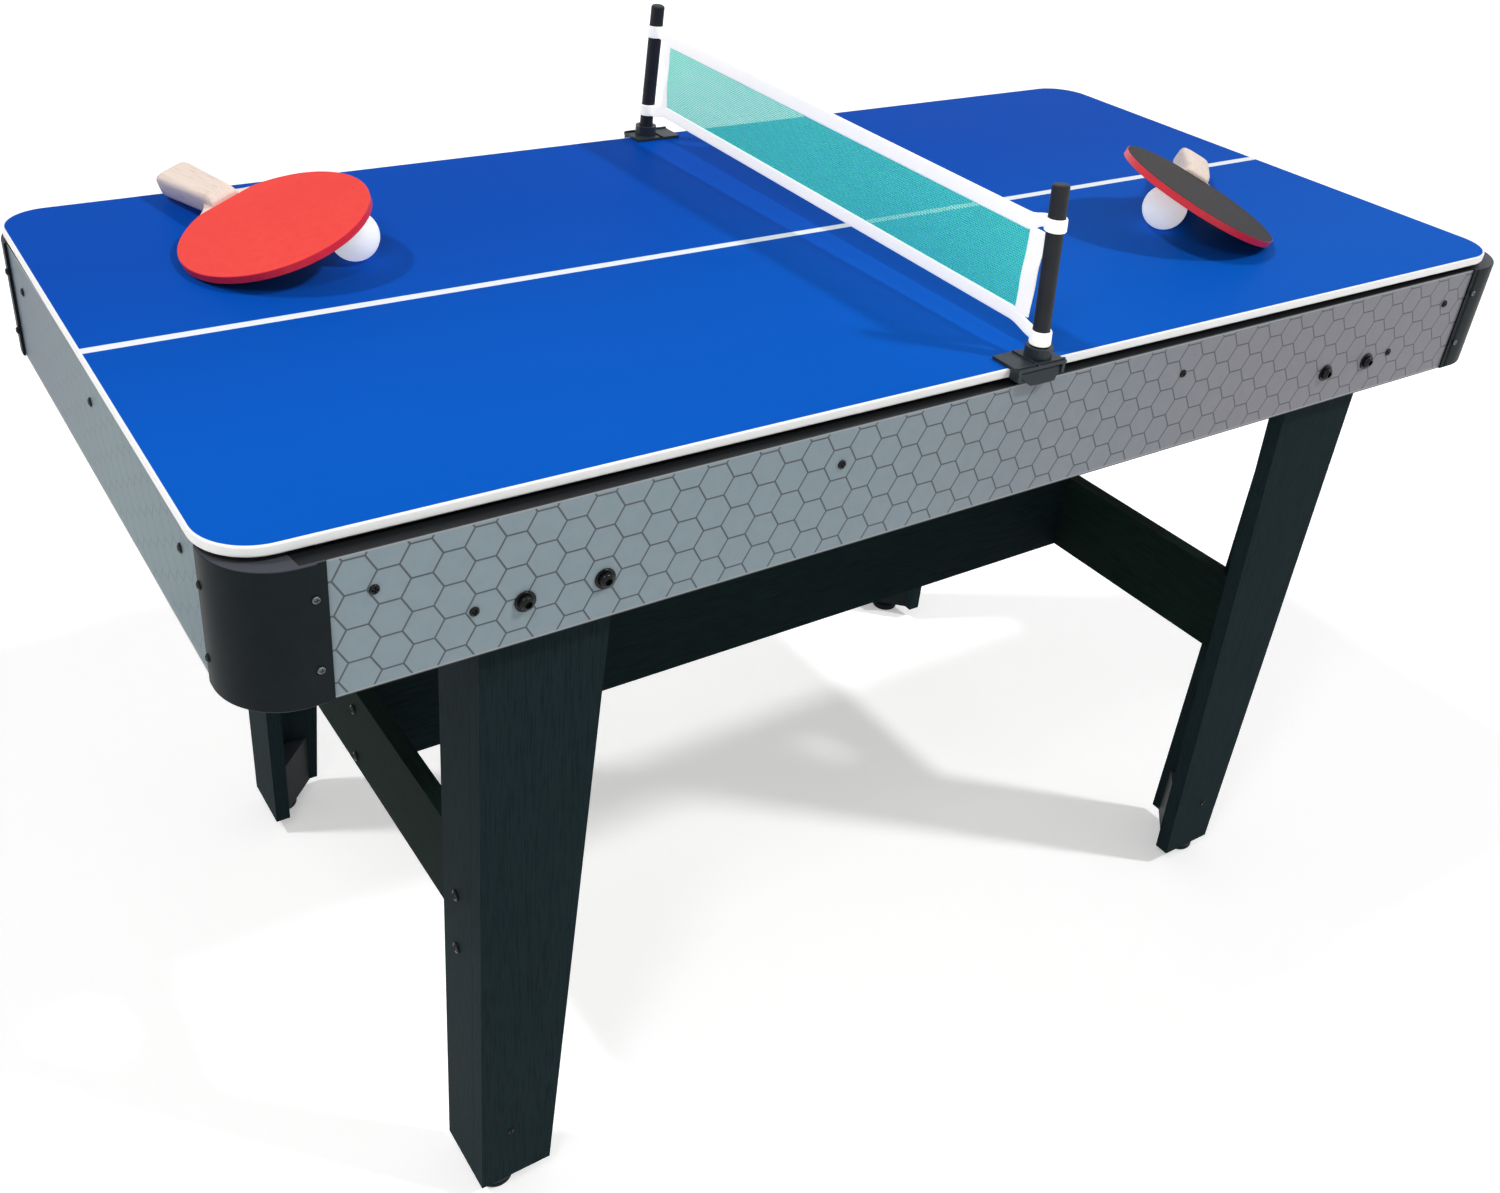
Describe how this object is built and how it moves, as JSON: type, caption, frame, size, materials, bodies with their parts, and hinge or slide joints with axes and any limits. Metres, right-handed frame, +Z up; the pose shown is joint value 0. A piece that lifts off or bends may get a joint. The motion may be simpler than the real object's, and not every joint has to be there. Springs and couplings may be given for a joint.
{
  "type": "multi game table",
  "caption": "Rectangular game cabinet on tapered board legs, with a loose table-tennis top, clamp-on net, bats and balls.",
  "frame": {"origin": "on the floor under the middle of the cabinet", "axes": "+X along the cabinet's length to the right, +Y to the back, +Z up"},
  "size_m": [1.2276, 0.6128, 0.8279],
  "materials": {
    "hexagon_laminate": "satin printed laminate with a fine hexagon line pattern",
    "black_plastic": "moulded, fine texture",
    "raw_board": "plain fibreboard",
    "playfield_laminate": "smooth laminate",
    "black_laminate": "textured laminate",
    "black_steel": "black, semi gloss",
    "blue_laminate": "satin laminate with a white centre line",
    "white_plastic": "smooth",
    "foam": "soft, matt",
    "net_fabric": "knotted net with white tapes",
    "bat_wood": "sanded, unvarnished",
    "red_rubber": "matt sheet",
    "black_rubber": "matt sheet",
    "ball_plastic": "smooth, slightly matt"
  },
  "bodies": {
    "cabinet": {"front_panel": "hexagon_laminate", "back_panel": "hexagon_laminate", "left_end_panel": "hexagon_laminate", "right_end_panel": "hexagon_laminate", "corner_front_left": "black_plastic", "corner_front_right": "black_plastic", "corner_back_left": "black_plastic", "corner_back_right": "black_plastic", "front_rail": "raw_board", "back_rail": "raw_board", "left_rail": "raw_board", "right_rail": "raw_board", "playfield_board": "playfield_laminate", "leg_front_left_wide_board": "black_laminate", "leg_front_left_side_board": "black_laminate", "foot_block_front_left": "black_plastic", "leg_bolt_front_left_outer": "black_steel", "leg_bolt_front_left_inner": "black_steel", "leg_front_right_wide_board": "black_laminate", "leg_front_right_side_board": "black_laminate", "foot_block_front_right": "black_plastic", "leg_bolt_front_right_outer": "black_steel", "leg_bolt_front_right_inner": "black_steel", "leg_back_left_wide_board": "black_laminate", "leg_back_left_side_board": "black_laminate", "foot_block_back_left": "black_plastic", "leg_bolt_back_left_outer": "black_steel", "leg_bolt_back_left_inner": "black_steel", "leg_back_right_wide_board": "black_laminate", "leg_back_right_side_board": "black_laminate", "foot_block_back_right": "black_plastic", "leg_bolt_back_right_outer": "black_steel", "leg_bolt_back_right_inner": "black_steel", "cross_panel_left": "black_laminate", "cross_panel_right": "black_laminate", "stretcher": "black_laminate"},
    "tabletop": {"tennis_board": "blue_laminate", "edge_moulding": "white_plastic", "rest_strip_left": "foam", "rest_strip_right": "foam", "net_clamp_front": "black_plastic", "net_clamp_back": "black_plastic"},
    "net_set": {"net": "net_fabric", "net_post_front": "black_plastic", "net_post_back": "black_plastic"},
    "jaw_front": {"clamp_jaw_front": "black_plastic"},
    "jaw_back": {"clamp_jaw_back": "black_plastic"},
    "bat_left": {"bat_left_blade": "bat_wood", "bat_left_red_rubber": "red_rubber", "bat_left_black_rubber": "black_rubber"},
    "bat_right": {"bat_right_blade": "bat_wood", "bat_right_red_rubber": "red_rubber", "bat_right_black_rubber": "black_rubber"},
    "ball_left": {"ball_left": "ball_plastic"},
    "ball_right": {"ball_right": "ball_plastic"},
    "levelling_foot_front_left": {"leveller_front_left": "black_plastic"},
    "levelling_foot_front_right": {"leveller_front_right": "black_plastic"},
    "levelling_foot_back_left": {"leveller_back_left": "black_plastic"},
    "levelling_foot_back_right": {"leveller_back_right": "black_plastic"}
  },
  "joints": [
    {"name": "tabletop_lift", "type": "slide", "parent": "cabinet", "child": "tabletop", "axis": [0, 0, 1], "range_m": [0, 0.15]},
    {"name": "net_set_lift", "type": "slide", "parent": "tabletop", "child": "net_set", "axis": [0, 0, 1], "range_m": [0, 0.03]},
    {"name": "jaw_front_hinge", "type": "hinge", "parent": "tabletop", "child": "jaw_front", "pos_m": [-0.00174, -0.30018, 0.6925], "axis": [-1, 0.0086, 0], "range_deg": [0, 5], "stiffness_Nm_per_rad": 0.02, "springref_deg": -17.19},
    {"name": "jaw_back_hinge", "type": "hinge", "parent": "tabletop", "child": "jaw_back", "pos_m": [0.01734, 0.29308, 0.6925], "axis": [1, -0.0086, 0], "range_deg": [0, 5], "stiffness_Nm_per_rad": 0.02, "springref_deg": -17.19},
    {"name": "bat_left_lift", "type": "slide", "parent": "tabletop", "child": "bat_left", "axis": [0, 0, 1], "range_m": [0, 0.1]},
    {"name": "bat_right_lift", "type": "slide", "parent": "tabletop", "child": "bat_right", "axis": [0, 0, 1], "range_m": [0, 0.1]},
    {"name": "ball_left_roll", "type": "slide", "parent": "tabletop", "child": "ball_left", "axis": [0.9997, -0.0232, 0], "range_m": [0, 0.15]},
    {"name": "ball_right_roll", "type": "slide", "parent": "tabletop", "child": "ball_right", "axis": [-0.8327, 0.5537, 0], "range_m": [0, 0.15]},
    {"name": "leveller_front_left_screw", "type": "slide", "parent": "cabinet", "child": "levelling_foot_front_left", "axis": [0, 0, -1], "range_m": [0, 0.008]},
    {"name": "leveller_front_right_screw", "type": "slide", "parent": "cabinet", "child": "levelling_foot_front_right", "axis": [0, 0, -1], "range_m": [0, 0.008]},
    {"name": "leveller_back_left_screw", "type": "slide", "parent": "cabinet", "child": "levelling_foot_back_left", "axis": [0, 0, -1], "range_m": [0, 0.008]},
    {"name": "leveller_back_right_screw", "type": "slide", "parent": "cabinet", "child": "levelling_foot_back_right", "axis": [0, 0, -1], "range_m": [0, 0.008]}
  ]
}
